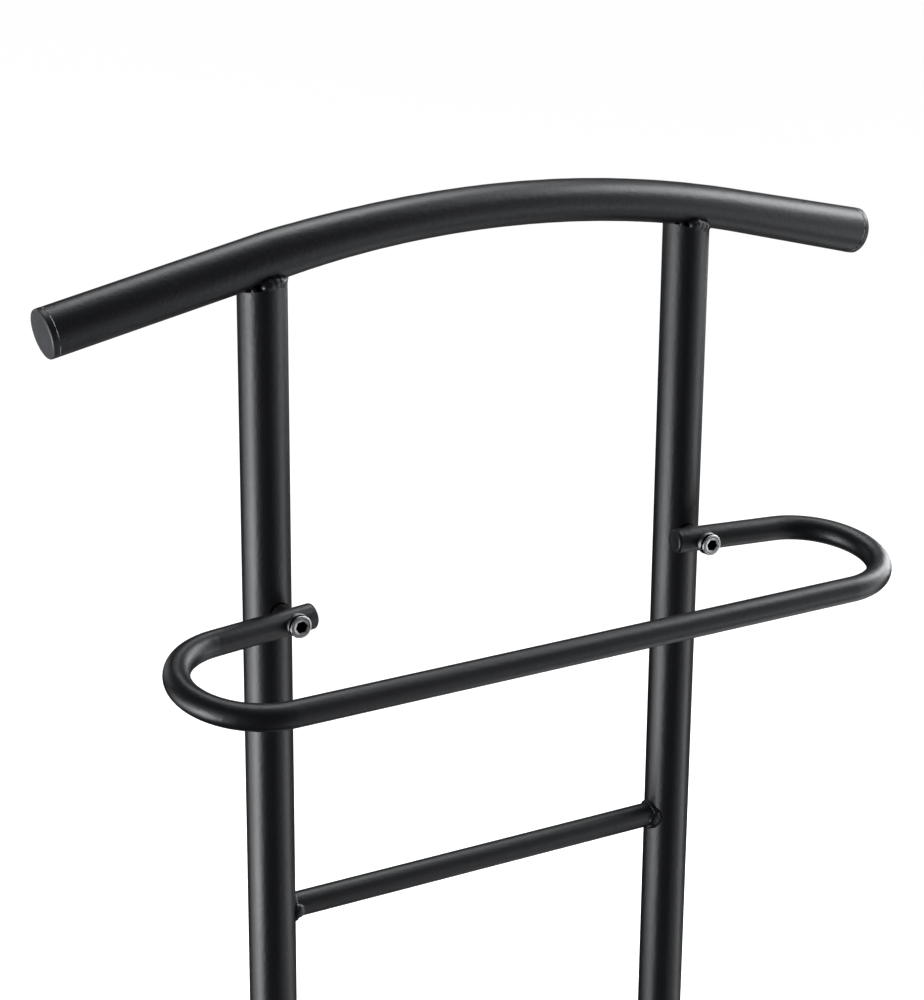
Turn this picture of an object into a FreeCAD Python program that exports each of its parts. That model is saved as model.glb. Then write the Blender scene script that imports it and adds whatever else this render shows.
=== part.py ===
import FreeCAD, Part
import math
import os

# Valet stand of bent and welded round steel tube, all sizes in millimetres.
# +Z is up, the front of the stand looks along -Y, and the two uprights stand on the X axis.
# The origin is on the floor, in the middle of the base.

# ---------------------------------------------------------------- driving dimensions
# uprights and the ladder of rungs between them
UPRIGHT_SPACING = 224.0
UPRIGHT_RADIUS = 11.1
UPRIGHT_WALL = 1.2
RUNG_RADIUS = 6.0
RUNG_WALL = 1.0
RUNG_HEIGHTS = {"upper_rung": 726.6, "middle_rung": 470.0, "lower_rung": 214.0}

# shoulder tube: a long bend in the middle and two straight, drooping ends; it was bent a little
# off its middle, so its two sides differ
SHOULDER_APEX_X = 3.3
SHOULDER_APEX_HEIGHT = 1049.2
SHOULDER_BEND_RADIUS = 592.0
SHOULDER_BEND_ANGLES = {-1: math.radians(-11.45), 1: math.radians(13.45)}
SHOULDER_STRAIGHTS = {-1: 98.9, 1: 72.1}
SHOULDER_END_RADIUS = 11.1
SHOULDER_MID_HALF_HEIGHT = 9.85
SHOULDER_MID_HALF_DEPTH = 11.6
SHOULDER_FLAT_ANGLE = math.radians(4.0)
SHOULDER_FLAT_HALF_ANGLE = math.radians(14.5)
SHOULDER_SEAT = 0.5
SHOULDER_LOFT_STEPS = 16

# trouser bar: a flat loop of thin tube, open at the back, screwed to the uprights
BAR_RADIUS = 6.0
BAR_WALL = 1.0
BAR_HEIGHT = 878.4
BAR_HALF_WIDTH = 181.4
BAR_BEND_RADIUS = 34.1
BAR_ARM_TOE = math.radians(7.0)
BAR_DROOP = math.radians(8.0)
BAR_ROLL = math.radians(0.35)
BAR_ARM_ENDS = {-1: 101.1, 1: 98.5}
BAR_GAP = 4.3
BAR_SCREW_SPACING = 222.2
BAR_HOLE_REACH = 20.0

# base: two arched runners, a crossbar that carries the uprights and two shoe rails
RUNNER_SPACING = 380.0
RUNNER_RADIUS = 11.0
RUNNER_ARCH_RADIUS = 900.0
RUNNER_HALF_LENGTH = 169.0
CROSSBAR_HEIGHT = 30.0
CROSSBAR_RADIUS = 11.0
SHOE_RAIL_Y = {"shoe_rail_front": -140.0, "shoe_rail_rear": -60.0}
SPIGOT_LENGTH = 60.0
SPIGOT_CLEARANCE = 0.1
SPIGOT_WALL = 2.0
BASE_SCREW_HEIGHT = 76.0
GLIDE_Y = 150.0
GLIDE_RADIUS = 9.0
GLIDE_STEM_RADIUS = 2.5
GLIDE_ROUND = 0.8
GLIDE_BARB = 3.5

# plastic end plugs
PLUG_LIP = 3.0
PLUG_ROUND = 0.8
PLUG_DEPTH = 14.0
PLUG_SKIRT_WALL = 1.6
PLUG_SKIRT_INSET = 0.5
PLUG_RIB_COUNT = 3
PLUG_CLEARANCE = 0.15
PLUG_RIB = 0.8
SMALL_PLUG_LIP = 1.4
SMALL_PLUG_ROUND = 0.4
SMALL_PLUG_DEPTH = 6.0

# M6 screws, lock rings, rivet nuts and spacers
SCREW_RADIUS = 3.0
SCREW_HOLE_RADIUS = 3.3
HEAD_RADIUS = 5.3
HEAD_HEIGHT = 2.4
HEAD_CHAMFER = 0.35
BAR_SCREW_LENGTH = 24.0
BASE_SCREW_LENGTH = 10.0
SOCKET_ACROSS_FLATS = 5.0
SOCKET_DEPTH = 2.0
LOCK_RING_RADIUS = 5.4
LOCK_RING_HEIGHT = 2.0
LOCK_RING_CHAMFER = 0.3
BARREL_RADIUS = 4.5
FLANGE_RADIUS = 4.9
FLANGE_HEIGHT = 0.4
BARREL_LENGTH = 12.0
BULGE_RADIUS = 5.6
BULGE_LENGTH = 2.5
THREAD_CLEARANCE = 0.02
SPACER_RADIUS = 4.4
WELD_NUT_RADIUS = 5.5
WELD_NUT_HEIGHT = 6.0
WELD_NUT_INSET = 2.5

# weld beads
SHOULDER_BEAD = 2.0
RUNG_BEAD = 1.6
BASE_BEAD = 1.8
SHOULDER_BEAD_DROP = 5.0
SHOULDER_BEAD_RISE = 6.0

# ---------------------------------------------------------------- derived places
X = FreeCAD.Vector(1, 0, 0)
Y = FreeCAD.Vector(0, 1, 0)
Z = FreeCAD.Vector(0, 0, 1)
SIDES = ((-1, "left"), (1, "right"))
FACINGS = ((-1, "front"), (1, "rear"))
UPRIGHT_X = UPRIGHT_SPACING / 2
BAR_SCREW_X = BAR_SCREW_SPACING / 2
RUNNER_X = RUNNER_SPACING / 2
SHOULDER_BEND_CENTRE = FreeCAD.Vector(SHOULDER_APEX_X, 0, SHOULDER_APEX_HEIGHT - SHOULDER_BEND_RADIUS)
UPRIGHT_FOOT_HEIGHT = CROSSBAR_HEIGHT + CROSSBAR_RADIUS
BAR_ARM_Y = -(UPRIGHT_RADIUS + BAR_GAP + BAR_RADIUS)
ARCH_CENTRE_HEIGHT = CROSSBAR_HEIGHT - RUNNER_ARCH_RADIUS

# cutting bodies reach this far beyond whatever they cut
REACH = 30.0

os.makedirs("parts", exist_ok=True)


def save(shape, node):
    """Write one closed piece as its own STEP file."""
    if not shape.isValid():
        raise ValueError(node + " is not a valid solid")
    shape.exportStep("parts/" + node + ".step")


def vector(x, y, z):
    return FreeCAD.Vector(x, y, z)


def along(origin, outward, across):
    """Placement whose local Z is outward and whose local X is across."""
    third = outward.cross(across)
    matrix = FreeCAD.Matrix(
        across.x, third.x, outward.x, origin.x,
        across.y, third.y, outward.y, origin.y,
        across.z, third.z, outward.z, origin.z,
        0, 0, 0, 1,
    )
    return FreeCAD.Placement(matrix)


def rod(start, end, radius):
    """Solid round bar from start to end."""
    return Part.makeCylinder(radius, (end - start).Length, start, end - start)


def tube(start, end, radius, wall):
    """Round tube from start to end, open at both ends."""
    return rod(start, end, radius).cut(rod(start, end, radius - wall))


def bent_rod(start, tangent, centre, axis, degrees, radius):
    """Solid round bar that turns about an axis through centre."""
    circle = Part.Wire(Part.Circle(start, tangent, radius).toShape())
    return Part.Face(circle).revolve(centre, axis, degrees)


# ---------------------------------------------------------------- shoulder tube
def shoulder_axis(angle):
    """Point and tangent on the bend's centre line; angle 0 is the apex, positive towards +X."""
    outward = vector(math.sin(angle), 0, math.cos(angle))
    tangent = vector(math.cos(angle), 0, -math.sin(angle))
    return SHOULDER_BEND_CENTRE + outward * SHOULDER_BEND_RADIUS, tangent


def shoulder_halves(angle):
    """Half height and half depth of the oval there: bending has flattened the tube."""
    share = min(1, abs(angle - SHOULDER_FLAT_ANGLE) / SHOULDER_FLAT_HALF_ANGLE)
    flattening = 1 - share ** 4
    half_height = SHOULDER_END_RADIUS + (SHOULDER_MID_HALF_HEIGHT - SHOULDER_END_RADIUS) * flattening
    half_depth = SHOULDER_END_RADIUS + (SHOULDER_MID_HALF_DEPTH - SHOULDER_END_RADIUS) * flattening
    return half_height, half_depth


def shoulder_section(angle, inset):
    """Oval wire square to the bend."""
    half_height, half_depth = shoulder_halves(angle)
    oval = Part.Ellipse(FreeCAD.Vector(), half_depth - inset, half_height - inset)
    wire = Part.Wire(oval.toShape())
    point, tangent = shoulder_axis(angle)
    wire.Placement = along(point, tangent, Y)
    return wire


def shoulder_end(side):
    """Middle of the shoulder's end on one side, and the way out of it."""
    start, tangent = shoulder_axis(SHOULDER_BEND_ANGLES[side])
    outward = tangent * side
    return start + outward * SHOULDER_STRAIGHTS[side], outward


def shoulder_solid(inset):
    """The shoulder's envelope, or its bore when inset is the wall; round again at its ends."""
    first, last = SHOULDER_BEND_ANGLES[-1], SHOULDER_BEND_ANGLES[1]
    steps = SHOULDER_LOFT_STEPS
    angles = [first + (last - first) * i / steps for i in range(steps + 1)]
    body = Part.makeLoft([shoulder_section(angle, inset) for angle in angles], True, False)
    for side, _ in SIDES:
        end, outward = shoulder_end(side)
        circle = Part.Wire(Part.Circle(FreeCAD.Vector(), Z, SHOULDER_END_RADIUS - inset).toShape())
        circle.Placement = along(end, outward * side, Y)
        bend_end = shoulder_section(SHOULDER_BEND_ANGLES[side], inset)
        body = body.fuse(Part.makeLoft([bend_end, circle], True, True))
    return body


SHOULDER_ENVELOPE = shoulder_solid(0.0)
save(SHOULDER_ENVELOPE.cut(shoulder_solid(UPRIGHT_WALL)), "shoulder_tube")


# ---------------------------------------------------------------- push-in end plugs
def end_plug(radius, wall, lip, edge_round, depth):
    """Plug with its lip outside and its ribbed skirt inside a tube; local Z points out."""
    cap = Part.makeCylinder(radius, lip)
    rim = [edge for edge in cap.Edges if edge.BoundBox.ZMin > lip / 2 and edge.Closed]
    cap = cap.makeFillet(edge_round, rim)
    rib_radius = radius - wall - PLUG_CLEARANCE
    skirt_radius = rib_radius - PLUG_SKIRT_INSET
    down = vector(0, 0, -1)
    skirt = Part.makeCylinder(skirt_radius, depth, FreeCAD.Vector(), down)
    plug = cap.fuse(skirt)
    for i in range(PLUG_RIB_COUNT):
        rib_z = -depth * (i + 1) / (PLUG_RIB_COUNT + 1)
        plug = plug.fuse(Part.makeCylinder(rib_radius, PLUG_RIB, vector(0, 0, rib_z)))
    core_radius = skirt_radius - PLUG_SKIRT_WALL
    return plug.cut(Part.makeCylinder(core_radius, depth, FreeCAD.Vector(), down))


for side, name in SIDES:
    end, outward = shoulder_end(side)
    plug = end_plug(SHOULDER_END_RADIUS, UPRIGHT_WALL, PLUG_LIP, PLUG_ROUND, PLUG_DEPTH)
    plug.Placement = along(end, outward, Y)
    save(plug, "shoulder_plug_" + name)


# ---------------------------------------------------------------- uprights
def upright_seat(side):
    """Point on the shoulder's underside above an upright, its slope, downward way and half height."""
    angle = math.asin((side * UPRIGHT_X - SHOULDER_APEX_X) / SHOULDER_BEND_RADIUS)
    half_height, _ = shoulder_halves(angle)
    point, tangent = shoulder_axis(angle)
    down = vector(-math.sin(angle), 0, -math.cos(angle))
    return point + down * half_height, tangent, down, half_height


def upright(side):
    """Tube cut off parallel to the shoulder's underside, lightly notched to seat on it."""
    x = side * UPRIGHT_X
    foot = vector(x, 0, UPRIGHT_FOOT_HEIGHT)
    top = vector(x, 0, SHOULDER_APEX_HEIGHT)
    body = tube(foot, top, UPRIGHT_RADIUS, UPRIGHT_WALL)
    seat, slope, down, _ = upright_seat(side)
    waste = Part.makeBox(2 * REACH, 2 * REACH, 2 * REACH, vector(-REACH, -REACH, 0))
    waste.Placement = along(seat - down * SHOULDER_SEAT, -down, slope)
    body = body.cut(waste).cut(SHOULDER_ENVELOPE)
    bar_axis = vector(side * BAR_SCREW_X, 0, BAR_HEIGHT)
    body = body.cut(Part.makeCylinder(BARREL_RADIUS, REACH, bar_axis, -Y))
    base_axis = vector(x, 0, BASE_SCREW_HEIGHT)
    return body.cut(Part.makeCylinder(SCREW_HOLE_RADIUS, REACH, base_axis, Y))


for side, name in SIDES:
    save(upright(side), "upright_" + name)


# ---------------------------------------------------------------- rungs
def upright_rod(side, extra):
    """Straight envelope of one upright, grown by extra."""
    x = side * UPRIGHT_X
    low = vector(x, 0, UPRIGHT_FOOT_HEIGHT)
    return rod(low, vector(x, 0, BAR_HEIGHT), UPRIGHT_RADIUS + extra)


def coped_tube(start, end, radius, wall, neighbours):
    """Tube whose ends are notched to fit against its neighbours."""
    body = tube(start, end, radius, wall)
    for neighbour in neighbours:
        body = body.cut(neighbour)
    return max(body.Solids, key=lambda solid: solid.Volume)


for node, height in RUNG_HEIGHTS.items():
    left_end = vector(-UPRIGHT_X, 0, height)
    right_end = vector(UPRIGHT_X, 0, height)
    neighbours = [upright_rod(side, 0) for side, _ in SIDES]
    save(coped_tube(left_end, right_end, RUNG_RADIUS, RUNG_WALL, neighbours), node)


# ---------------------------------------------------------------- trouser bar
def bar_arm_end(side):
    """End of an arm's centre line in the loop's own plane, whose local X runs towards -X."""
    end_x = BAR_ARM_ENDS[side]
    return vector(-side * end_x, (end_x - BAR_SCREW_X) * math.tan(BAR_ARM_TOE), 0)


def bar_solid(radius):
    """Loop in its own plane: local X across, local Y towards the front, screws at local Y 0."""
    bend_x = BAR_HALF_WIDTH - BAR_BEND_RADIUS
    rear_x = bend_x + BAR_BEND_RADIUS * math.sin(BAR_ARM_TOE)
    rear_y = (rear_x - BAR_SCREW_X) * math.tan(BAR_ARM_TOE)
    front_y = rear_y + BAR_BEND_RADIUS * (1 + math.cos(BAR_ARM_TOE))
    body = rod(vector(-bend_x, front_y, 0), vector(bend_x, front_y, 0), radius)
    for side, _ in SIDES:
        bend_centre = vector(side * bend_x, front_y - BAR_BEND_RADIUS, 0)
        bend_degrees = side * (math.degrees(BAR_ARM_TOE) - 180)
        bend_start = vector(side * bend_x, front_y, 0)
        body = body.fuse(bent_rod(bend_start, X, bend_centre, Z, bend_degrees, radius))
        arm_start = vector(side * rear_x, rear_y, 0)
        body = body.fuse(rod(arm_start, bar_arm_end(-side), radius))
    return body


# the loop's plane faces up and a little forward, so that its front droops, and it hangs askew
BAR_ACROSS = vector(-math.cos(BAR_ROLL), 0, -math.sin(BAR_ROLL))
BAR_SQUARE_UP = vector(0, -math.sin(BAR_DROOP), math.cos(BAR_DROOP))
BAR_PLANE_UP = (BAR_SQUARE_UP - BAR_ACROSS * BAR_SQUARE_UP.dot(BAR_ACROSS)).normalize()
BAR_PLACEMENT = along(vector(0, BAR_ARM_Y, BAR_HEIGHT), BAR_PLANE_UP, BAR_ACROSS)


def trouser_bar():
    """Hollow loop, drilled for its two screws and pressed flat under each lock ring."""
    body = bar_solid(BAR_RADIUS).cut(bar_solid(BAR_RADIUS - BAR_WALL)).removeSplitter()
    body.Placement = BAR_PLACEMENT
    for side, _ in SIDES:
        start = vector(side * BAR_SCREW_X, BAR_ARM_Y - BAR_HOLE_REACH, BAR_HEIGHT)
        body = body.cut(Part.makeCylinder(SCREW_HOLE_RADIUS, 2 * BAR_HOLE_REACH, start, Y))
        seat = vector(side * BAR_SCREW_X, BAR_ARM_Y - BAR_RADIUS, BAR_HEIGHT)
        body = body.cut(Part.makeCylinder(LOCK_RING_RADIUS, BAR_HOLE_REACH, seat, -Y))
    return body


save(trouser_bar(), "trouser_bar")

for side, name in SIDES:
    local_out = vector(side * math.cos(BAR_ARM_TOE), -math.sin(BAR_ARM_TOE), 0)
    plug = end_plug(BAR_RADIUS, BAR_WALL, SMALL_PLUG_LIP, SMALL_PLUG_ROUND, SMALL_PLUG_DEPTH)
    plug.Placement = BAR_PLACEMENT.multiply(along(bar_arm_end(side), local_out, Z))
    save(plug, "trouser_bar_plug_" + name)


# ---------------------------------------------------------------- fasteners
def socket_screw(shank_length):
    """Thin-headed hexagon socket screw: local Z points out of the head, the seat is at 0."""
    head = Part.makeCylinder(HEAD_RADIUS, HEAD_HEIGHT)
    rim = [edge for edge in head.Edges if edge.BoundBox.ZMin > HEAD_HEIGHT / 2 and edge.Closed]
    head = head.makeChamfer(HEAD_CHAMFER, rim)
    shank = Part.makeCylinder(SCREW_RADIUS, shank_length, FreeCAD.Vector(), vector(0, 0, -1))
    corner = SOCKET_ACROSS_FLATS / math.sqrt(3)
    floor = HEAD_HEIGHT - SOCKET_DEPTH
    turns = [math.radians(60 * i) for i in range(7)]
    hexagon = [vector(corner * math.cos(a), corner * math.sin(a), floor) for a in turns]
    socket = Part.Face(Part.makePolygon(hexagon)).extrude(vector(0, 0, SOCKET_DEPTH))
    return head.fuse(shank).cut(socket)


def lock_ring():
    """Ring under a screw head: local Z points towards the head, the seat is at 0."""
    ring = Part.makeCylinder(LOCK_RING_RADIUS, LOCK_RING_HEIGHT)
    rims = [edge for edge in ring.Edges if edge.Closed and edge.Length > 2 * LOCK_RING_RADIUS]
    ring = ring.makeChamfer(LOCK_RING_CHAMFER, rims)
    return ring.cut(Part.makeCylinder(SCREW_HOLE_RADIUS, LOCK_RING_HEIGHT))


def threaded_bore(length):
    return Part.makeCylinder(SCREW_RADIUS + THREAD_CLEARANCE, length, vector(0, 0, -length / 2))


def rivet_nut(axis_offset):
    """Blind rivet nut in an upright's front wall: local Z is outward, 0 is level with the axis."""
    wall_top = UPRIGHT_RADIUS + FLANGE_HEIGHT
    low = vector(-REACH, axis_offset, 0)
    upright_core = Part.makeCylinder(UPRIGHT_RADIUS, 2 * REACH, low, X)
    bore_core = Part.makeCylinder(UPRIGHT_RADIUS - UPRIGHT_WALL, 2 * REACH, low, X)
    flange = Part.makeCylinder(FLANGE_RADIUS, wall_top).cut(upright_core)
    flange = max(flange.Solids, key=lambda solid: solid.Volume)
    barrel = Part.makeCylinder(BARREL_RADIUS, BARREL_LENGTH, vector(0, 0, wall_top - BARREL_LENGTH))
    bulge_floor = UPRIGHT_RADIUS - UPRIGHT_WALL - BULGE_LENGTH
    bulge = Part.makeCylinder(BULGE_RADIUS, BULGE_LENGTH * 2, vector(0, 0, bulge_floor))
    bulge = bulge.common(bore_core)
    return flange.fuse(barrel).fuse(bulge).cut(threaded_bore(2 * REACH))


def saddle_spacer():
    """Short round spacer between rivet nut and trouser bar; local Z is outward from the upright."""
    arm_axis = -BAR_ARM_Y
    low = UPRIGHT_RADIUS + FLANGE_HEIGHT
    body = Part.makeCylinder(SPACER_RADIUS, arm_axis - low, vector(0, 0, low))
    return body.cut(threaded_bore(4 * REACH))


for side, name in SIDES:
    x = side * BAR_SCREW_X
    on_axis = along(vector(x, 0, BAR_HEIGHT), -Y, Z)
    nut = rivet_nut(side * (BAR_SCREW_X - UPRIGHT_X))
    nut.Placement = on_axis
    save(nut, "rivet_nut_" + name)

    spacer = saddle_spacer()
    spacer.Placement = on_axis
    arm = bar_solid(BAR_RADIUS)
    arm.Placement = BAR_PLACEMENT
    spacer = max(spacer.cut(arm).Solids, key=lambda solid: solid.Volume)
    save(spacer, "trouser_spacer_" + name)

    ring_seat = BAR_ARM_Y - BAR_RADIUS
    ring = lock_ring()
    ring.Placement = along(vector(x, ring_seat, BAR_HEIGHT), -Y, Z)
    save(ring, "trouser_lock_ring_" + name)

    screw = socket_screw(BAR_SCREW_LENGTH)
    screw.Placement = along(vector(x, ring_seat - LOCK_RING_HEIGHT, BAR_HEIGHT), -Y, Z)
    save(screw, "trouser_screw_" + name)


# ---------------------------------------------------------------- base
def arch_point(y):
    """Point, tangent and upward normal on a runner's centre line, for x = 0."""
    angle = math.asin(y / RUNNER_ARCH_RADIUS)
    normal = vector(0, math.sin(angle), math.cos(angle))
    tangent = vector(0, math.cos(angle), -math.sin(angle))
    return vector(0, 0, ARCH_CENTRE_HEIGHT) + normal * RUNNER_ARCH_RADIUS, tangent, normal


def runner_solid(side, radius):
    start, tangent, _ = arch_point(-RUNNER_HALF_LENGTH)
    shift = vector(side * RUNNER_X, 0, 0)
    centre = vector(side * RUNNER_X, 0, ARCH_CENTRE_HEIGHT)
    sweep = 2 * math.degrees(math.asin(RUNNER_HALF_LENGTH / RUNNER_ARCH_RADIUS))
    return bent_rod(start + shift, tangent, centre, -X, sweep, radius)


def glide_hole(side, y):
    point, _, _ = arch_point(y)
    low = vector(side * RUNNER_X, y, 0)
    return rod(low, vector(side * RUNNER_X, y, point.z), GLIDE_STEM_RADIUS)


RUNNERS = {name: runner_solid(side, RUNNER_RADIUS) for side, name in SIDES}

for side, name in SIDES:
    body = RUNNERS[name].cut(runner_solid(side, RUNNER_RADIUS - UPRIGHT_WALL))
    for facing, _ in FACINGS:
        body = body.cut(glide_hole(side, facing * GLIDE_Y))
    save(body, "runner_" + name)

for side, name in SIDES:
    for facing, end_name in FACINGS:
        point, tangent, _ = arch_point(facing * RUNNER_HALF_LENGTH)
        plug = end_plug(RUNNER_RADIUS, UPRIGHT_WALL, PLUG_LIP, PLUG_ROUND, PLUG_DEPTH)
        plug.Placement = along(point + vector(side * RUNNER_X, 0, 0), tangent * facing, X)
        save(plug, "runner_plug_" + end_name + "_" + name)


def glide(side, y):
    """Push-in floor glide: a round pad notched to the runner, with a barbed stem in its hole."""
    x = side * RUNNER_X
    point, _, _ = arch_point(y)
    pad = Part.makeCylinder(GLIDE_RADIUS, point.z, vector(x, y, 0))
    rim = [edge for edge in pad.Edges if edge.BoundBox.ZMax < 1 and edge.Closed]
    pad = pad.makeFillet(GLIDE_ROUND, rim)
    outer = RUNNERS["left" if side < 0 else "right"]
    pad = min(pad.cut(outer).Solids, key=lambda solid: solid.CenterOfMass.z)
    bore_floor = point.z - (RUNNER_RADIUS - UPRIGHT_WALL)
    stem = Part.makeCylinder(GLIDE_STEM_RADIUS, bore_floor + GLIDE_BARB, vector(x, y, 0))
    return pad.fuse(stem)


for side, name in SIDES:
    for facing, end_name in FACINGS:
        save(glide(side, facing * GLIDE_Y), "floor_glide_" + end_name + "_" + name)

CROSSBAR_ENDS = [vector(side * RUNNER_X, 0, CROSSBAR_HEIGHT) for side, _ in SIDES]
CROSSBAR = coped_tube(*CROSSBAR_ENDS, CROSSBAR_RADIUS, UPRIGHT_WALL, RUNNERS.values())
save(CROSSBAR, "base_crossbar")

for node, y in SHOE_RAIL_Y.items():
    point, _, _ = arch_point(y)
    ends = [point + vector(side * RUNNER_X, 0, 0) for side, _ in SIDES]
    save(coped_tube(*ends, RUNG_RADIUS, RUNG_WALL, RUNNERS.values()), node)

# spigots that stand on the crossbar inside the uprights, each with a weld nut for its screw
SPIGOT_RADIUS = UPRIGHT_RADIUS - UPRIGHT_WALL - SPIGOT_CLEARANCE
CROSSBAR_ENVELOPE = rod(*CROSSBAR_ENDS, CROSSBAR_RADIUS)

for side, name in SIDES:
    x = side * UPRIGHT_X
    low = vector(x, 0, CROSSBAR_HEIGHT)
    high = vector(x, 0, UPRIGHT_FOOT_HEIGHT + SPIGOT_LENGTH)
    spigot = tube(low, high, SPIGOT_RADIUS, SPIGOT_WALL).cut(CROSSBAR_ENVELOPE)
    screw_axis = vector(x, 0, BASE_SCREW_HEIGHT)
    spigot = spigot.cut(Part.makeCylinder(SCREW_HOLE_RADIUS, REACH, screw_axis, Y))
    save(spigot, "spigot_" + name)

    nut_seat = vector(x, WELD_NUT_INSET, BASE_SCREW_HEIGHT)
    nut = Part.makeCylinder(WELD_NUT_RADIUS, WELD_NUT_HEIGHT, nut_seat, Y)
    nut = nut.common(rod(low, high, SPIGOT_RADIUS - SPIGOT_WALL))
    nut = nut.cut(Part.makeCylinder(SCREW_RADIUS + THREAD_CLEARANCE, REACH, screw_axis, Y))
    save(nut, "base_weld_nut_" + name)

    ring = lock_ring()
    ring.Placement = along(vector(x, UPRIGHT_RADIUS, BASE_SCREW_HEIGHT), Y, Z)
    save(ring, "base_lock_ring_" + name)

    screw = socket_screw(BASE_SCREW_LENGTH)
    screw_seat = UPRIGHT_RADIUS + LOCK_RING_HEIGHT
    screw.Placement = along(vector(x, screw_seat, BASE_SCREW_HEIGHT), Y, Z)
    save(screw, "base_screw_" + name)


# ---------------------------------------------------------------- weld beads
def seam_bead(joint, outward, thin_radius, host, host_axis, host_radius, size):
    """Ring of weld round a thin tube, where it runs outward from the middle of a host tube."""
    end = joint + outward * REACH
    sleeve = rod(joint, end, thin_radius + size).cut(rod(joint, end, thin_radius))
    wrap = rod(joint - host_axis * REACH, joint + host_axis * REACH, host_radius + size)
    return sleeve.common(wrap).cut(host)


def solids_of(shapes):
    return [solid for shape in shapes for solid in shape.Solids]


def shoulder_beads():
    """Beads under the shoulder: each fills the outer part of the seam round an upright."""
    beads = []
    for side, _ in SIDES:
        seat, slope, down, half_height = upright_seat(side)
        middle = seat - down * half_height
        wrap_radius = SHOULDER_END_RADIUS + SHOULDER_BEAD
        wrap = rod(middle - slope * REACH, middle + slope * REACH, wrap_radius)
        foot = vector(side * UPRIGHT_X, 0, seat.z)
        low = foot - Z * SHOULDER_BEAD_DROP
        collar = rod(low, foot + Z * SHOULDER_BEAD_RISE, UPRIGHT_RADIUS + SHOULDER_BEAD)
        core = rod(foot - Z * REACH, foot + Z * REACH, UPRIGHT_RADIUS)
        beads.append(collar.common(wrap).cut(core).cut(SHOULDER_ENVELOPE))
    return Part.makeCompound(solids_of(beads))


def rung_beads():
    beads = []
    for height in RUNG_HEIGHTS.values():
        for side, _ in SIDES:
            joint = vector(side * UPRIGHT_X, 0, height)
            host = upright_rod(side, 0)
            ring = seam_bead(joint, X * -side, RUNG_RADIUS, host, Z, UPRIGHT_RADIUS, RUNG_BEAD)
            beads.append(ring)
    return Part.makeCompound(solids_of(beads))


def base_beads():
    seams = [(0.0, CROSSBAR_RADIUS)]
    seams += [(y, RUNG_RADIUS) for y in SHOE_RAIL_Y.values()]
    beads = []
    for y, thin_radius in seams:
        point, tangent, _ = arch_point(y)
        for side, name in SIDES:
            joint = point + vector(side * RUNNER_X, 0, 0)
            host = RUNNERS[name]
            ring = seam_bead(joint, X * -side, thin_radius, host, tangent, RUNNER_RADIUS, BASE_BEAD)
            beads.append(ring)
    return Part.makeCompound(solids_of(beads))


save(shoulder_beads(), "shoulder_welds")
save(rung_beads(), "rung_welds")
save(base_beads(), "base_welds")
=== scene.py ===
# %% [markdown]
# # A valet stand of black powder-coated tube
#
# A clothes valet is furniture made like a bicycle frame: round steel tubes are bent, cut, welded
# and powder coated, and then plastic plugs and a few socket screws finish them.
# The designed frame is loaded first. It already has every tube in its place and at its true
# size, so nothing here is placed by eye: each later piece reads its place from the frame.

import math
import random

import bmesh
import bpy
from mathutils import Matrix, Vector
from mathutils.bvhtree import BVHTree


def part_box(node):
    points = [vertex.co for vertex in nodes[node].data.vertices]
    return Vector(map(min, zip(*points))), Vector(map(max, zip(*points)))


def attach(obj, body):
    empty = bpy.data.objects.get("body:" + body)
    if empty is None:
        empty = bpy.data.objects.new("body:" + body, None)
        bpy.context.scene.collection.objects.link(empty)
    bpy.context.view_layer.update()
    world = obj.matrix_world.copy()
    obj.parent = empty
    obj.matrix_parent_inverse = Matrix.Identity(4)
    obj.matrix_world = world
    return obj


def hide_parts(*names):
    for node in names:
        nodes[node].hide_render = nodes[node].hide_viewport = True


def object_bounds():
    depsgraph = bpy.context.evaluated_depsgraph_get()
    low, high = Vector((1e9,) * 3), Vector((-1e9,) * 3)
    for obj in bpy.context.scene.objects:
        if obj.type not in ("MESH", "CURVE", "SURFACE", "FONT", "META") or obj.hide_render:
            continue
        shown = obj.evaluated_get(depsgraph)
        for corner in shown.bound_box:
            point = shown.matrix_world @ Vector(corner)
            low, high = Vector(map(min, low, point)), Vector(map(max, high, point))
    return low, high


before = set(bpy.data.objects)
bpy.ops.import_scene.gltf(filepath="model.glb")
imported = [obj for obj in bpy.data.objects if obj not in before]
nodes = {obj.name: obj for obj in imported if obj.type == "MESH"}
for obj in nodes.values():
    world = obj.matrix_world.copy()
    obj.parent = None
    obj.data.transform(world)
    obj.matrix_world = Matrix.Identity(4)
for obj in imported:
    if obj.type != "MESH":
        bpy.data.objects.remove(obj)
cad_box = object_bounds()
scene = bpy.context.scene
MM = 0.001
print(len(nodes), "nodes, box", [round(side / MM) for side in cad_box[1] - cad_box[0]], "mm")

# %% [markdown]
# ## Camera
#
# The stand is seen from its front left and from a little above, through a long lens.
# A camera could be aimed at a target with a constraint. Plain angles are used here, because the
# camera was held by hand, so it also leans half a degree to one side.

# %% Camera
CAMERA_PLACE = (-0.61546, -1.00775, 1.30022)
TURN_RIGHT = 0.54079
LOOK_DOWN = 0.31901
LEAN = 0.0083174
LENS = 96.04
FAR = 100.0

camera = bpy.data.objects.new("camera", bpy.data.cameras.new("camera"))
scene.collection.objects.link(camera)
camera.data.lens = LENS
camera.data.sensor_width = 36.0
camera.data.clip_start = 0.05
camera.data.clip_end = FAR
aim = Matrix.Rotation(-TURN_RIGHT, 4, "Z") @ Matrix.Rotation(math.pi / 2 - LOOK_DOWN, 4, "X")
camera.matrix_world = Matrix.Translation(CAMERA_PLACE) @ aim @ Matrix.Rotation(LEAN, 4, "Z")
scene.camera = camera
print("camera looks down", round(math.degrees(LOOK_DOWN), 1), "degrees, lens", LENS, "mm")

# %% [markdown]
# ## Floor
#
# A product studio has a white floor whose end is never seen. A bent paper sweep could do that.
# A flat sheet that reaches past the horizon is simpler, and it looks the same from every side.

# %% Floor
FLOOR_HALF = 40.0


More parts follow.
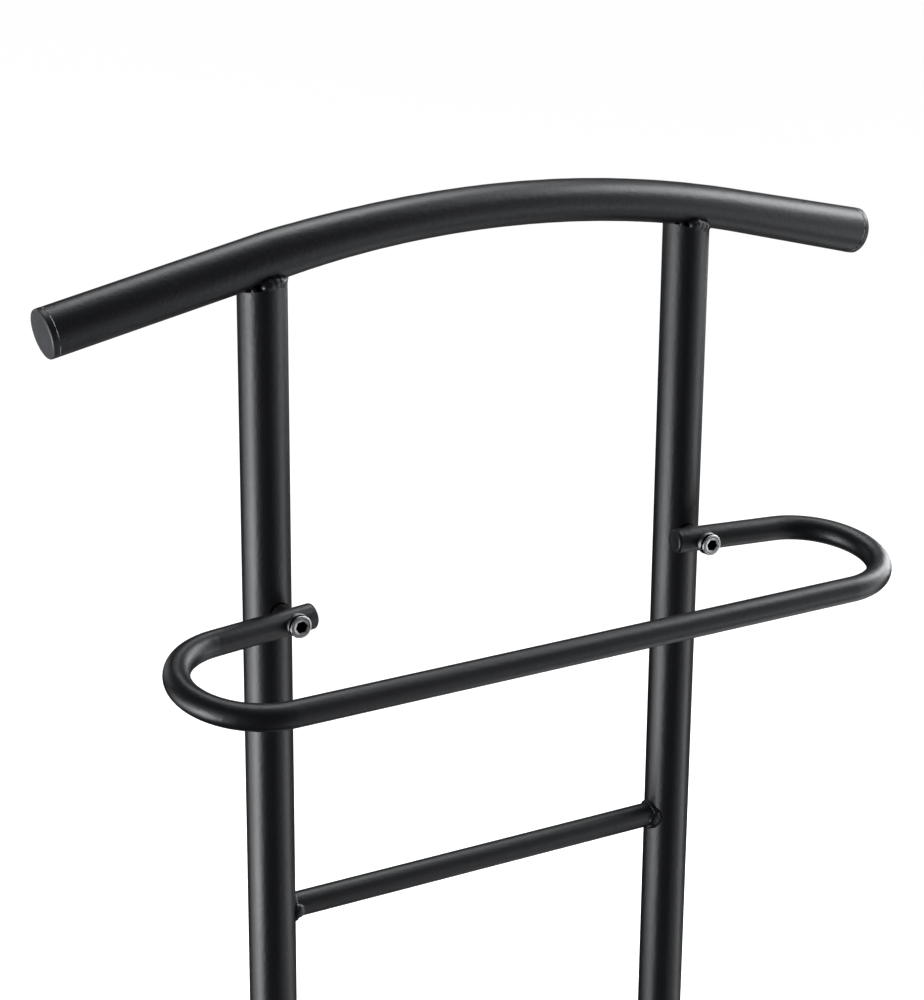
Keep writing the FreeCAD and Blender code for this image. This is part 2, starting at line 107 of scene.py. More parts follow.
def new_finish(name):
    """A material with its Principled shader: returns the material, its node tree and the shader."""
    finish = bpy.data.materials.new(name)
    finish.use_nodes = True
    return finish, finish.node_tree, finish.node_tree.nodes["Principled BSDF"]


def link_piece(name, mesh):
    piece = bpy.data.objects.new(name, mesh)
    scene.collection.objects.link(piece)
    return piece


floor_paint, tree, shader = new_finish("floor_paint")
shader.inputs["Base Color"].default_value = (0.9, 0.9, 0.9, 1)
shader.inputs["Roughness"].default_value = 0.9
shader.inputs["Specular IOR Level"].default_value = 0.0

floor_mesh = bpy.data.meshes.new("floor")
ways = ((-1, -1), (1, -1), (1, 1), (-1, 1))
corners = [(x * FLOOR_HALF, y * FLOOR_HALF, 0) for x, y in ways]
floor_mesh.from_pydata(corners, [], [(0, 1, 2, 3)])
floor_mesh.materials.append(floor_paint)
floor = link_piece("floor", floor_mesh)
floor.location.z = cad_box[0].z
floor.visible_glossy = False
print("floor at z", round(floor.location.z / MM, 2), "mm")

# %% [markdown]
# ## Light
#
# Satin black shows hardly any light of its own. What the eye reads as its shape is the
# reflection of bright panels, with dark gaps between them. So the studio is built as a dark room
# for reflections: a white sky lights the floor but is kept out of reflections, and square soft
# panels hang round the stand. A bright panel on the left draws the long light band on every
# upright, and one high on the right draws the sheen along the shoulder tube.

# %% Sky
world = bpy.data.worlds.new("studio")
scene.world = world
world.use_nodes = True
sky = world.node_tree.nodes["Background"]
sky.inputs["Color"].default_value = (1, 1, 1, 1)
sky.inputs["Strength"].default_value = 1.1
world.cycles_visibility.glossy = False
scene.view_settings.view_transform = "Standard"

# %% Soft panels
CHEST = Vector((0, 0, 0.9))
PANEL_DISTANCE = 2.2
PANEL_SIDE = 1.1
DAYLIGHT = (0.965, 0.98, 1.0)
PANELS = {
    # name: (compass angle from +X, angle above the horizon, brightness)
    "left_bank": (180, -20, 12.8),
    "left_back": (150, -20, 2.9),
    "left_edge": (-165, 8, 0.8),
    "high_right": (0, 36, 9.8),
    "right_back": (15, 8, 6.7),
    "right_side": (-15, 8, 2.8),
    "right_low": (-30, -20, 2.8),
    "right_front": (-45, 8, 0.7),
    "low_front": (-60, -20, 0.6),
    "floor_front": (-60, -50, 0.8),
    "floor_right": (0, -50, 1.4),
    "floor_back": (60, -50, 0.35),
    "roof_back": (60, 62, 6.3),
    "back_left": (105, 8, 0.9),
    "roof": (0, 88, 0.5),
}


def soft_panel(name, azimuth, height, brightness):
    """Square lamp that faces the stand's chest from a compass angle and a height angle."""
    across, up = math.radians(azimuth), math.radians(height)
    way = Vector((math.cos(across) * math.cos(up), math.sin(across) * math.cos(up), math.sin(up)))
    lamp = bpy.data.lights.new(name, "AREA")
    lamp.shape = "SQUARE"
    lamp.size = PANEL_SIDE
    lamp.energy = brightness * math.pi * PANEL_SIDE ** 2
    lamp.color = DAYLIGHT
    holder = bpy.data.objects.new(name, lamp)
    scene.collection.objects.link(holder)
    holder.location = CHEST + way * PANEL_DISTANCE
    holder.rotation_euler = (-way).to_track_quat("-Z", "Y").to_euler()
    holder.visible_camera = False


for name, (azimuth, height, brightness) in PANELS.items():
    soft_panel(name, azimuth, height, brightness)
print(len(PANELS), "soft panels")

# %% [markdown]
# ## Finishes
#
# Every finish is made of nodes, with noise measured in real millimetres, so that it stays fine on
# a thin tube and on a thick one. The helpers below are the few steps that all finishes share:
# a noise, a change of range, a two-colour mix and a bump.

# %% Helpers for finishes
NOISE_BAND = (0.3, 0.7)  # nearly all of a noise's values lie between these


def coordinates(tree):
    return tree.nodes.new("ShaderNodeTexCoord").outputs["Object"]


def speckle(tree, place, size, detail=2.0):
    """Soft noise between 0 and 1 whose features are about size metres wide."""
    noise = tree.nodes.new("ShaderNodeTexNoise")
    noise.inputs["Scale"].default_value = 1 / size
    noise.inputs["Detail"].default_value = detail
    tree.links.new(place, noise.inputs["Vector"])
    return noise.outputs["Fac"]


def spread(tree, value, low, high, to_low, to_high):
    """value from low..high stretched to to_low..to_high."""
    remap = tree.nodes.new("ShaderNodeMapRange")
    tree.links.new(value, remap.inputs["Value"])
    ends = {"From Min": low, "From Max": high, "To Min": to_low, "To Max": to_high}
    for socket, number in ends.items():
        remap.inputs[socket].default_value = number
    return remap.outputs["Result"]


def two_tone(tree, value, dark, light):
    ramp = tree.nodes.new("ShaderNodeValToRGB")
    ramp.color_ramp.elements[0].color = (*dark, 1)
    ramp.color_ramp.elements[1].color = (*light, 1)
    tree.links.new(value, ramp.inputs["Fac"])
    return ramp.outputs["Color"]


def relief(tree, height, depth, under=None):
    """Bump of that depth in metres, laid over another bump if one is given."""
    bump = tree.nodes.new("ShaderNodeBump")
    bump.inputs["Distance"].default_value = depth
    tree.links.new(height, bump.inputs["Height"])
    if under is not None:
        tree.links.new(under, bump.inputs["Normal"])
    return bump.outputs["Normal"]


# %% [markdown]
# ### Powder coat
#
# Powder coat is plastic dust, melted onto the steel. It flows almost smooth: a faint orange peel
# about two millimetres wide stays, with a grain of half a millimetre that makes the sheen sparkle.
# A clear-coat layer would look too wet, so one satin layer is used.

# %% Powder coat
COAT_GRAIN = 0.45 * MM
COAT_PEEL = 2.2 * MM
COAT_CLOUD = 45 * MM
PEEL_DEPTH = 0.12 * MM
GRAIN_DEPTH = 0.06 * MM
COAT_DARK, COAT_LIGHT = (0.0018, 0.0021, 0.003), (0.0038, 0.0044, 0.006)
COAT_ROUGHNESS = (0.38, 0.42)

powder_coat, tree, shader = new_finish("powder_coat")
place = coordinates(tree)
grain = speckle(tree, place, COAT_GRAIN, 1.5)
tree.links.new(two_tone(tree, grain, COAT_DARK, COAT_LIGHT), shader.inputs["Base Color"])
cloud = speckle(tree, place, COAT_CLOUD)
tree.links.new(spread(tree, cloud, *NOISE_BAND, *COAT_ROUGHNESS), shader.inputs["Roughness"])
peel = relief(tree, speckle(tree, place, COAT_PEEL), PEEL_DEPTH)
tree.links.new(relief(tree, grain, GRAIN_DEPTH, peel), shader.inputs["Normal"])

# %% [markdown]
# ### Moulded plastic
#
# The end plugs are moulded in polyethylene. The mould was polished round the lip, which is as black
# as the coat, and sand-blasted on the flat face, which is greyer and slightly cloudy. The spacers
# and floor pads are softer and so dull that they hardly reflect.

# %% Moulded plastics
SAND = 0.3 * MM
RUBBED_PATCH = 6 * MM
SAND_DEPTH = 0.04 * MM
PAD_SHINE = 0.15


def moulded_plastic(name, dark, light, roughness):
    finish, tree, shader = new_finish(name)
    place = coordinates(tree)
    sand = speckle(tree, place, SAND)
    rubbed = speckle(tree, place, RUBBED_PATCH)
    tree.links.new(two_tone(tree, rubbed, dark, light), shader.inputs["Base Color"])
    tree.links.new(spread(tree, sand, *NOISE_BAND, *roughness), shader.inputs["Roughness"])
    tree.links.new(relief(tree, sand, SAND_DEPTH), shader.inputs["Normal"])
    return finish


def shader_of(finish):
    return finish.node_tree.nodes["Principled BSDF"]


plug_plastic = moulded_plastic(
    "plug_plastic", (0.003, 0.0032, 0.004), (0.005, 0.0053, 0.006), (0.37, 0.42))
plug_face = moulded_plastic(
    "plug_face", (0.03, 0.031, 0.034), (0.048, 0.049, 0.052), (0.3, 0.42))
pad_plastic = moulded_plastic(
    "pad_plastic", (0.003, 0.003, 0.0035), (0.006, 0.006, 0.0065), (0.6, 0.7))
shader_of(pad_plastic).inputs["Specular IOR Level"].default_value = PAD_SHINE

# %% [markdown]
# ### Turned steel
#
# The screws and rings are bare steel, a little stained by handling and finely scratched. Long
# scratches could be painted round each axis. Heads this small hardly show them, so one fine noise
# in the roughness and the bump does. A second steel, almost black, is painted shade: it darkens the
# socket and the tool groove of each head, and a dark edge tint keeps it black even where it is seen
# at a slant. The sides of a head and the shank take it too.

# %% Steels
STAIN = 1.5 * MM
STAIN_DETAIL = 4.0
SCRATCH = 0.25 * MM
SCRATCH_DEPTH = 0.02 * MM
# painted shade: this dark edge tint keeps the near-black steel from catching light at a slant
SHADE_EDGE_TINT = (0.2, 0.2, 0.2, 1)


def steel(name, dark, light, roughness):
    finish, tree, shader = new_finish(name)
    place = coordinates(tree)
    stain = speckle(tree, place, STAIN, STAIN_DETAIL)
    tree.links.new(two_tone(tree, stain, dark, light), shader.inputs["Base Color"])
    scratch = speckle(tree, place, SCRATCH)
    tree.links.new(spread(tree, scratch, *NOISE_BAND, *roughness), shader.inputs["Roughness"])
    tree.links.new(relief(tree, scratch, SCRATCH_DEPTH), shader.inputs["Normal"])
    shader.inputs["Metallic"].default_value = 1.0
    return finish


turned_steel = steel("turned_steel", (0.38, 0.38, 0.39), (0.6, 0.6, 0.61), (0.36, 0.48))
ring_steel = steel("ring_steel", (0.16, 0.16, 0.165), (0.26, 0.26, 0.265), (0.42, 0.52))
# painted shade: near-black steel that stands in for the shade in sockets, grooves and on the rivet
# nuts
painted_shade_steel = steel(
    "painted_shade_steel", (0.0015, 0.0015, 0.0018), (0.004, 0.004, 0.0045), (0.45, 0.55))
shader_of(painted_shade_steel).inputs["Specular Tint"].default_value = SHADE_EDGE_TINT

# %% Finishes on the frame's own pieces
FINISHES = {
    "powder_coat": powder_coat,
    "end_plug_plastic": plug_plastic,
    "spacer_plastic": pad_plastic,
    "glide_plastic": pad_plastic,
    "screw_steel": turned_steel,
    # painted shade: the rivet nuts take the near-black steel, so their flanges read as the black
    # shadow above the trouser bar's arms
    "zinc_nut": painted_shade_steel,
}
for node in nodes.values():
    for slot in node.material_slots:
        slot.material = FINISHES[slot.material.name.split(".")[0]]
print("finishes:", ", ".join(sorted(FINISHES)))

# %% [markdown]
# ## Weld beads
#
# A weld is a row of small drops of molten steel, each laid half over the last one. It could be
# modelled as one bent sausage with a bump, but that looks like glue. Here each drop is a slightly
# flattened ball. All the drops of one seam are melted together by a voxel remesh, and smoothing
# stands for the coat that softens them.

# %% Helpers for weld beads
DROP_STEP = 1.25 * MM
DROP_STRETCH = 0.62
DROP_SPREAD = (0.9, 1.12)
DROP_LIFT = (0.02, 0.2)
MELT_VOXEL = 0.3 * MM
SEAM_TURNS = 72
PROBE_START = 0.05
PROBE_RADIUS = 0.985
PROBE_MARGIN = 0.015
chance = random.Random(7)


def surface_of(node):
    """Searchable surface of a frame node."""
    mesh = nodes[node].data
    points = [vertex.co.copy() for vertex in mesh.vertices]
    return BVHTree.FromPolygons(points, [list(polygon.vertices) for polygon in mesh.polygons])


def drop(mesh, place, along, out, size, stretch):
    """One ball of weld metal; stretch is its length along the seam, as a share of its width."""
    out = (out - along * out.dot(along)).normalized()
    turn = Matrix((along, out.cross(along), out)).transposed().to_4x4()
    shape = Matrix.Diagonal((size * stretch, size, size, 1))
    bmesh.ops.create_icosphere(
        mesh, subdivisions=2, radius=1, matrix=Matrix.Translation(place) @ turn @ shape)


def melt(name, mesh, smoothing=5):
    """Join overlapping drops into one closed skin, softened by that many rounds of smoothing."""
    data = bpy.data.meshes.new(name)
    mesh.to_mesh(data)
    mesh.free()
    piece = link_piece(name, data)
    remesh = piece.modifiers.new("melt", "REMESH")
    remesh.mode = "VOXEL"
    remesh.voxel_size = MELT_VOXEL
    smooth = piece.modifiers.new("coat", "SMOOTH")
    smooth.factor = 0.5
    smooth.iterations = smoothing
    melted = piece.evaluated_get(bpy.context.evaluated_depsgraph_get())
    shown = bpy.data.meshes.new_from_object(melted)
    piece.modifiers.clear()
    piece.data = shown
    shown.name = name
    shown.shade_smooth()
    shown.materials.clear()
    shown.materials.append(powder_coat)
    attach(piece, "root")
    return piece


def even_steps(points, step):
    """Shares between 0 and 1 of a row of points, which lie at equal steps along it."""
    lengths = [0.0]
    for a, b in zip(points, points[1:]):
        lengths.append(lengths[-1] + (b - a).length)
    count = max(2, round(lengths[-1] / step))
    shares, i = [], 0
    for k in range(count):
        target = lengths[-1] * k / count
        while lengths[i + 1] < target:
            i += 1
        rest = (target - lengths[i]) / max(lengths[i + 1] - lengths[i], 1e-9)
        shares.append((i + rest) / (len(points) - 1))
    return shares


def ring_bead(mesh, centre, out, radius, host, size, swell):
    """Drops round a level tube that leaves a host; swell(up, front) scales them round the seam.

    The seam is found by rays that run back along the tube, just inside its skin, to the host.
    """
    up, front = Vector((0, 0, 1)), Vector((0, -1, 0))
    seam = []
    for i in range(SEAM_TURNS + 1):
        angle = 2 * math.pi * i / SEAM_TURNS
        radial = front * math.cos(angle) + up * math.sin(angle)
        start = centre + out * PROBE_START + radial * radius * PROBE_RADIUS
        hit, normal, _, _ = host.ray_cast(start, -out)
        corner = (radial + normal).normalized()
        seam.append((hit + radial * radius * PROBE_MARGIN, corner, angle))
    for share in even_steps([point for point, _, _ in seam], DROP_STEP):
        at = share * SEAM_TURNS
        i, rest = int(at), at - int(at)
        point = seam[i][0].lerp(seam[i + 1][0], rest)
        along = (seam[i + 1][0] - seam[i][0]).normalized()
        _, corner, angle = seam[i]
        grown = size * swell(math.sin(angle), math.cos(angle)) * chance.uniform(*DROP_SPREAD)
        place = point + corner * grown * chance.uniform(*DROP_LIFT)
        drop(mesh, place, along, corner, grown, DROP_STRETCH)


# %% [markdown]
# ### Rung welds
#
# The welder tacks the rung at its front first, which leaves a flat pool of metal there, and then
# goes round it, so the bead is fattest at the front and thin at the back. The left joints got less
# metal on top than the right ones, so their bead is thinnest there.

# %% Rung welds
UPRIGHTS = {-1: "upright_left", 1: "upright_right"}
RUNGS = ("upper_rung", "middle_rung", "lower_rung")
RUNG_BEAD = 1.75 * MM
POOL_REACH = 10.9 * MM
POOL_SINK = 0.95
POOL_DROOP = 0.6 * MM
POOL_SIZE = (3.6 * MM, 2.3 * MM, 3.6 * MM)
RUNG_SMOOTHING = 8


def middle_of(node):
    """Middle of a node's box, and half its size."""
    low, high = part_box(node)
    return (low + high) / 2, (high - low) / 2


def thin_topped(up, front):
    return 0.85 + 0.15 * max(0.0, front) - 0.35 * max(0.0, up)


def thick_topped(up, front):
    return 0.85 + 0.25 * max(0.0, front)


RUNG_SWELLS = {-1: thin_topped, 1: thick_topped}


def rung_bead(rung, side, name):
    centre, half = middle_of(rung)
    upright_centre, _ = middle_of(UPRIGHTS[side])
    joint = Vector((upright_centre.x, centre.y, centre.z))
    host = surface_of(UPRIGHTS[side])
    mesh = bmesh.new()
    ring_bead(mesh, joint, Vector((-side, 0, 0)), half.z, host, RUNG_BEAD, RUNG_SWELLS[side])
    pool = joint + Vector((-side * POOL_REACH, -half.z * POOL_SINK, -POOL_DROOP))
    shape = Matrix.Translation(pool) @ Matrix.Diagonal((*POOL_SIZE, 1))
    bmesh.ops.create_icosphere(mesh, subdivisions=3, radius=1, matrix=shape)
    return melt(name, mesh, RUNG_SMOOTHING)


for rung in RUNGS:
    for side, word in ((-1, "left"), (1, "right")):
        bead = rung_bead(rung, side, f"{rung}_weld_{word}")
        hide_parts("rung_welds")
        print(bead.name, len(bead.data.vertices), "points")

# %% [markdown]
# ### Base welds
#
# The crossbar and the two shoe rails end on the inner sides of the runners. Their beads are made
# like those of the rungs, but they are fattest underneath, because the base was welded upside
# down on a table.

# %% Base welds
RUNNERS = {-1: "runner_left", 1: "runner_right"}
BASE_BARS = ("base_crossbar", "shoe_rail_front", "shoe_rail_rear")
BASE_BEAD = 1.9 * MM


def base_swell(up, front):
    return 0.95 - 0.2 * up


def base_bead(bar, side, name):
    centre, half = middle_of(bar)
    runner_centre, _ = middle_of(RUNNERS[side])
    joint = Vector((runner_centre.x, centre.y, centre.z))
    host = surface_of(RUNNERS[side])
    mesh = bmesh.new()
    ring_bead(mesh, joint, Vector((-side, 0, 0)), half.z, host, BASE_BEAD, base_swell)
    return melt(name, mesh)


for bar in BASE_BARS:
    for side, word in ((-1, "left"), (1, "right")):
        bead = base_bead(bar, side, f"{bar}_weld_{word}")
        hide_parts("base_welds")
        print(bead.name, len(bead.data.vertices), "points")

# %% [markdown]
# ### Shoulder welds
#
# Each upright is cut off under the shoulder and welded to it from its front, round the side that
# faces +X, to its back. On the front left the torch stopped early, so an open black gap stays
# there, with one small spatter lump in it. The seam could be drawn as a circle, but the gap that it
# fills is shut at the sides and open at the front and the back, so the drops grow, rise and move
# inwards with that gap.

# %% Shoulder welds
SEAM_START = math.radians(-103)
SEAM_END = math.radians(160)
SEAM_DROPS = 36
SPATTER_TURN = math.radians(-137)
# Reach from the upright's axis, rise over its cut edge, and drop size: at a side, at the front.
SIDE_SEAM = (10.3 * MM, -0.1 * MM, 1.15 * MM)
FRONT_SEAM = (9.3 * MM, 1.2 * MM, 3.2 * MM)
RIM_REACH = 10.5 * MM
ABOVE_RIM = 10 * MM
SEAM_TILT = -0.4
SEAM_SPREAD = (0.85, 1.12)
SEAM_LIFT = (-0.16, 0.1)
SEAM_STRETCH = 1.05
SEAM_SMOOTHING = 12
SPATTER_SHARE = 0.72
SPATTER_STRETCH = 1.1


def rim_height(host, centre, turn, reach):
    """Height of an upright's cut edge at an angle round it."""
    above = centre + Vector((math.cos(turn), math.sin(turn), 0)) * reach
    hit, _, _, _ = host.ray_cast(above, Vector((0, 0, -1)))
    return hit.z


def seam_place(host, centre, turn):
    """Middle and size of the drop that fills the seam at an angle round an upright."""
    openness = math.sin(turn) ** 2
    reach, lift, size = [a + (b - a) * openness for a, b in zip(SIDE_SEAM, FRONT_SEAM)]
    out = Vector((math.cos(turn), math.sin(turn), 0))
    place = centre + out * reach
    place.z = rim_height(host, centre, turn, RIM_REACH) + lift
    return place, size


def shoulder_bead(side, name):
    low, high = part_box(UPRIGHTS[side])
    centre = Vector(((low.x + high.x) / 2, 0, high.z + ABOVE_RIM))
    host = surface_of(UPRIGHTS[side])
    mesh = bmesh.new()
    sweep = SEAM_END - SEAM_START
    turns = [SEAM_START + sweep * i / SEAM_DROPS for i in range(SEAM_DROPS + 1)]
    places = [seam_place(host, centre, turn) for turn in turns]
    for i in range(SEAM_DROPS):
        place, size = places[i]
        along = (places[i + 1][0] - place).normalized()
        out = Vector((math.cos(turns[i]), math.sin(turns[i]), SEAM_TILT)).normalized()
        grown = size * chance.uniform(*SEAM_SPREAD)
        lifted = place + out * grown * chance.uniform(*SEAM_LIFT)
        drop(mesh, lifted, along, out, grown, SEAM_STRETCH)
    place, size = seam_place(host, centre, SPATTER_TURN)
    up, front_left = Vector((0, 0, 1)), Vector((-1, -1, 0))
    drop(mesh, place, up, front_left, size * SPATTER_SHARE, SPATTER_STRETCH)
    return melt(name, mesh, SEAM_SMOOTHING)


for side, word in ((-1, "left"), (1, "right")):
    bead = shoulder_bead(side, "shoulder_weld_" + word)
    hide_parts("shoulder_welds")
    print(bead.name, len(bead.data.vertices), "points")

# %% [markdown]
# ## Turned pieces
#
# Screws, rings and plugs are all round. Each could be a cylinder with bevels, but one small lathe
# makes them all: a profile of points is turned round local Z, and the bands between the points can
# have different finishes. A point whose shape is a hexagon is pulled in between the corners, which
# is how a round countersink runs into a hexagon socket.

# %% Lathe
LATHE_STEPS = 96
SHARP_ANGLE = math.radians(35)
ROUND, HEXAGON = "round", "hexagon"


def lathe_reach(radius, shape, turn):
    """Distance from the axis at one angle; a hexagon's radius is that of its corners."""
    if shape == ROUND:
        return radius
    sixth = math.pi / 3
    return radius * math.cos(sixth / 2) / math.cos(turn % sixth - sixth / 2)


def turned(name, profile, origin, out, twist=0.0, closed=False):
    """Lathe piece: profile points are (radius, height, shape, finish number of the band after)."""
    mesh = bmesh.new()
    rings = []
    for radius, height, shape, _ in profile:
        if radius == 0:
            rings.append([mesh.verts.new((0, 0, height))] * LATHE_STEPS)
            continue
        ring = []
        for i in range(LATHE_STEPS):
            turn = 2 * math.pi * i / LATHE_STEPS
            reach = lathe_reach(radius, shape, turn)
            ring.append(mesh.verts.new((reach * math.cos(turn), reach * math.sin(turn), height)))
        rings.append(ring)
    bands = list(zip(rings, rings[1:] + rings[:1], profile))
    for low, high, point in bands if closed else bands[:-1]:
        for i in range(LATHE_STEPS):
            j = (i + 1) % LATHE_STEPS
            corners = list(dict.fromkeys((low[i], low[j], high[j], high[i])))
            mesh.faces.new(corners).material_index = point[3]
    bmesh.ops.recalc_face_normals(mesh, faces=mesh.faces)
    data = bpy.data.meshes.new(name)
    mesh.to_mesh(data)
    mesh.free()
    data.shade_smooth()
    data.set_sharp_from_angle(angle=SHARP_ANGLE)
    piece = link_piece(name, data)
    turn = out.to_track_quat("Z", "Y").to_matrix().to_4x4()
    piece.matrix_world = Matrix.Translation(origin) @ turn @ Matrix.Rotation(twist, 4, "Z")
    return piece


def fitted(piece, node, slot, *finishes):
    """Give a turned piece its finishes and let it stand for a frame node."""
    for finish in finishes:
        piece.data.materials.append(finish)
    bpy.context.view_layer.update()
    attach(piece, "root")
    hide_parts(node)
    print(piece.name, len(piece.data.polygons), "faces")


# %% [markdown]
# ### Socket screws and lock rings
#
# The thin head has a rounded bright edge, one tool groove in its face and a hexagon socket.
# The groove and the socket are painted black as shade, and the head's side is painted the same
# near-black. The ring under it is a cone, so that its bright flank shows beside the head as a
# crescent.

# %% Socket screws and lock rings
# finish numbers: bright turned steel, and the near-black steel that paints the shade in socket and
# groove
BRIGHT, SHADE_BLACK = 0, 1
HEAD_HEIGHT = 2.4
SCREW_HEAD = [
    # (radius, height, both in millimetres; shape; finish)
    (4.9, 0.0, ROUND, SHADE_BLACK), (5.2, 0.3, ROUND, SHADE_BLACK), (5.2, 1.8, ROUND, BRIGHT),
    (5.12, 2.12, ROUND, BRIGHT), (4.9, 2.34, ROUND, BRIGHT), (4.62, HEAD_HEIGHT, ROUND, BRIGHT),
    (4.15, HEAD_HEIGHT, ROUND, SHADE_BLACK), (4.05, 2.3, ROUND, SHADE_BLACK), (3.92, 2.3, ROUND, SHADE_BLACK),
    (3.82, HEAD_HEIGHT, ROUND, BRIGHT), (3.15, HEAD_HEIGHT, ROUND, BRIGHT),
    (2.9, 2.2, HEXAGON, SHADE_BLACK), (2.9, 0.1, HEXAGON, SHADE_BLACK), (2.4, -0.2, ROUND, SHADE_BLACK),
    (0.0, -0.6, ROUND, SHADE_BLACK),
]
RING = [
    (3.3, 0.3, ROUND, BRIGHT), (3.6, 0.0, ROUND, BRIGHT), (5.2, 0.0, ROUND, BRIGHT),
    (5.4, 0.2, ROUND, BRIGHT), (5.42, 0.45, ROUND, BRIGHT), (5.2, 1.0, ROUND, BRIGHT),
    (4.95, 1.5, ROUND, BRIGHT), (4.7, 1.9, ROUND, BRIGHT), (4.5, 2.0, ROUND, BRIGHT),
    (3.5, 2.0, ROUND, BRIGHT), (3.3, 1.8, ROUND, BRIGHT),
]
RING_HEIGHT = 2.0 * MM
TWISTS = {"left": math.radians(9), "right": math.radians(-12)}


def in_metres(profile):
    return [(radius * MM, height * MM, shape, finish) for radius, height, shape, finish in profile]


def screw_profile(length):
    """Shank with a pointed end, then the head; length in millimetres."""
    shank = [(0.0, -length), (2.4, -length), (3.0, 0.8 - length), (3.0, -0.2), (3.2, 0.0)]
    return [(radius, height, ROUND, SHADE_BLACK) for radius, height in shank] + SCREW_HEAD


def screw_and_ring(group, word, out_y):
    """Screw and ring whose axis runs along Y, out of the front (-1) or the back (1)."""
    out = Vector((0, out_y, 0))
    centre, half = middle_of(f"{group}_lock_ring_{word}")
    seat = centre - out * half.y
    ring = turned(f"{group}_ring_{word}", in_metres(RING), seat, out, closed=True)
    fitted(ring, f"{group}_lock_ring_{word}", "screw_steel", ring_steel)
    _, screw_half = middle_of(f"{group}_screw_{word}")
    profile = in_metres(screw_profile(2 * screw_half.y / MM - HEAD_HEIGHT))
    name = f"{group}_socket_screw_{word}"
    screw = turned(name, profile, seat + out * RING_HEIGHT, out, TWISTS[word])
    fitted(screw, f"{group}_screw_{word}", "screw_steel", turned_steel, painted_shade_steel)


for word in ("left", "right"):
    screw_and_ring("trouser", word, -1)
    screw_and_ring("base", word, 1)

# %% [markdown]
# ### End plugs
#
# Each plug has a flat face with a rounded edge, a lip as wide as the tube and a ribbed skirt that
# grips inside it. A hair-fine groove under the lip draws the dark seam between plug and tube.
# Where a plug sits and where it points are read from the flat face of the frame's own plug.

# %% End plugs
PLUGS = {
    # group: (finish of the face, (lip, edge radius, skirt length, tube wall) in millimetres)
    "shoulder_plug": (plug_face, (3.0, 0.8, 14.0, 1.2)),
    "runner_plug_front": (plug_face, (3.0, 0.8, 14.0, 1.2)),
    "runner_plug_rear": (plug_face, (3.0, 0.8, 14.0, 1.2)),
    "trouser_bar_plug": (plug_plastic, (1.4, 1.1, 6.0, 1.0)),
}
SEAM_GROOVE = 0.15
DISH = 0.12
EDGE_STEPS = 5
FACE_POINTS = 7
RIBS = 3
RIB_GAP = 0.17
RIB_HEIGHT = 0.5
RIB_WIDTH = 0.8
SKIRT_WALL = 1.6


def flat_face(node):
    """Middle and outward way of the largest flat face of a frame node."""
    mesh = nodes[node].data
    areas = {}
    for face in mesh.polygons:
        level = face.normal.dot(face.center)
        key = (round(level / MM), *(round(part, 2) for part in face.normal))
        total, middle, way = areas.get(key, (0.0, Vector(), face.normal.copy()))
        areas[key] = (total + face.area, middle + face.center * face.area, way)
    total, middle, way = max(areas.values(), key=lambda found: found[0])
    return middle / total, way


def plug_profile(radius, lip, edge, depth, wall):
    """From the middle of the face, over the edge and the lip, down the skirt and up inside it.

    All in millimetres. The face is dished a little, and the bands after the first FACE_POINTS
    points take its finish.
    """
    points = [(0.0, -DISH), (radius * 0.55, -DISH * 0.9), (radius - edge * 1.9, -0.02)]
    for i in range(EDGE_STEPS + 1):
        turn = math.pi / 2 * i / EDGE_STEPS
        points.append((radius - edge + edge * math.sin(turn), edge * (math.cos(turn) - 1)))
    groove = -lip + 2 * SEAM_GROOVE
    root = radius - SEAM_GROOVE
    points += [(radius, groove), (root, groove - 0.05), (root, -lip)]
    rib = radius - wall - RIB_GAP
    skirt = rib - RIB_HEIGHT
    points.append((skirt, -lip))
    for i in range(RIBS):
        top = -lip - depth * (i + 1) / (RIBS + 1) + RIB_WIDTH
        points += [(skirt, top), (rib, top - 0.3), (rib, top - 0.6), (skirt, top - RIB_WIDTH)]
    core = skirt - SKIRT_WALL
    points += [(skirt, -lip - depth), (core, -lip - depth), (core, -lip + 0.1), (0.0, -lip + 0.1)]
    finishes = [int(i < FACE_POINTS) for i in range(len(points))]
    return in_metres([(*point, ROUND, finish) for point, finish in zip(points, finishes)])


def plug_radius(node, middle, way):
    """Largest distance of the plug's points from its axis, in millimetres."""
    spokes = [vertex.co - middle for vertex in nodes[node].data.vertices]
    return max((spoke - way * spoke.dot(way)).length for spoke in spokes) / MM


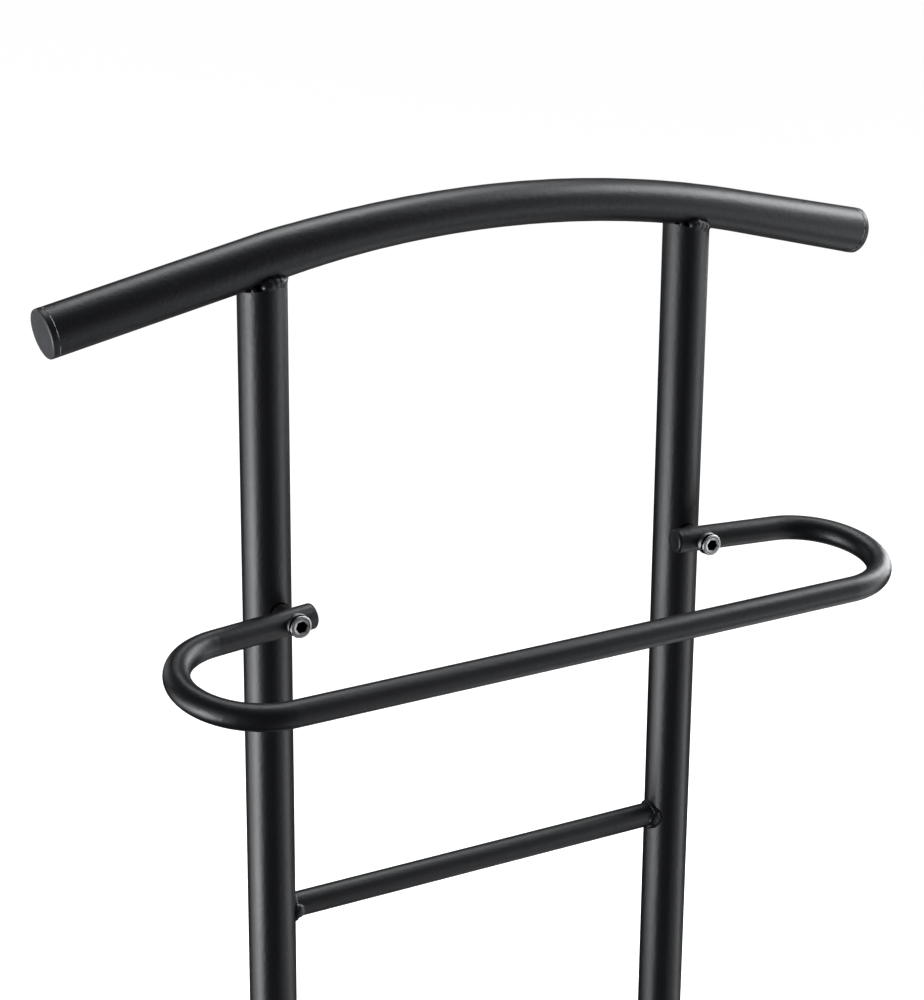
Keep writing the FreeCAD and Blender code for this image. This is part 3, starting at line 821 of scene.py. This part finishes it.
for group, (face_finish, plug_sizes) in PLUGS.items():
    for word in ("left", "right"):
        node = f"{group}_{word}"
        middle, way = flat_face(node)
        profile = plug_profile(plug_radius(node, middle, way), *plug_sizes)
        plug = turned(group.replace("_plug", "_end") + "_" + word, profile, middle, way)
        fitted(plug, node, "end_plug_plastic", plug_plastic, face_finish)

# %% [markdown]
# ### Bare edges
#
# A saw cut leaves a sharp edge, and powder draws away from it while it melts. The shoulder's two
# cut ends therefore show a thin light line beside the plug, broken where the coat held. It could
# be painted on the tube by a mask, but a raised lip catches the light as a real edge does. It is a
# third of a millimetre wide, and its finish mixes bare steel and coat by noise.

# %% Bare edges
EDGE_WIDTH = 0.34
EDGE_RISE = 0.07
EDGE_ROUNDING = 0.08
EDGE_ROOT = 0.2
EDGE_BREAK = 3.0 * MM
EDGE_TWISTS = {"left": 0.0, "right": 2.5}
COATED, BARE = (0.003, 0.0033, 0.0045), (0.36, 0.36, 0.36)

bare_edge, tree, shader = new_finish("bare_edge")
place = coordinates(tree)
bare = spread(tree, speckle(tree, place, EDGE_BREAK), 0.45, 0.55, 0.0, 1.0)
tree.links.new(two_tone(tree, bare, COATED, BARE), shader.inputs["Base Color"])
tree.links.new(spread(tree, bare, 0.0, 1.0, 0.4, 0.6), shader.inputs["Roughness"])
tree.links.new(spread(tree, bare, 0.0, 1.0, 0.0, 0.8), shader.inputs["Metallic"])

for word in ("left", "right"):
    node = "shoulder_plug_" + word
    middle, way = flat_face(node)
    radius = plug_radius(node, middle, way)
    lip = PLUGS["shoulder_plug"][1][0]
    root, crest = radius - EDGE_ROOT, radius + EDGE_RISE
    outline = [(root, -lip), (radius, -lip), (crest, -lip - EDGE_ROUNDING)]
    outline += [(crest, -lip - EDGE_WIDTH + EDGE_ROUNDING)]
    outline += [(radius, -lip - EDGE_WIDTH), (root, -lip - EDGE_WIDTH)]
    profile = in_metres([(reach, height, ROUND, 0) for reach, height in outline])
    edge = turned("shoulder_edge_" + word, profile, middle, way, EDGE_TWISTS[word], closed=True)
    edge.data.materials.append(bare_edge)
    bpy.context.view_layer.update()
    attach(edge, "root")
    print(edge.name, len(edge.data.polygons), "faces")
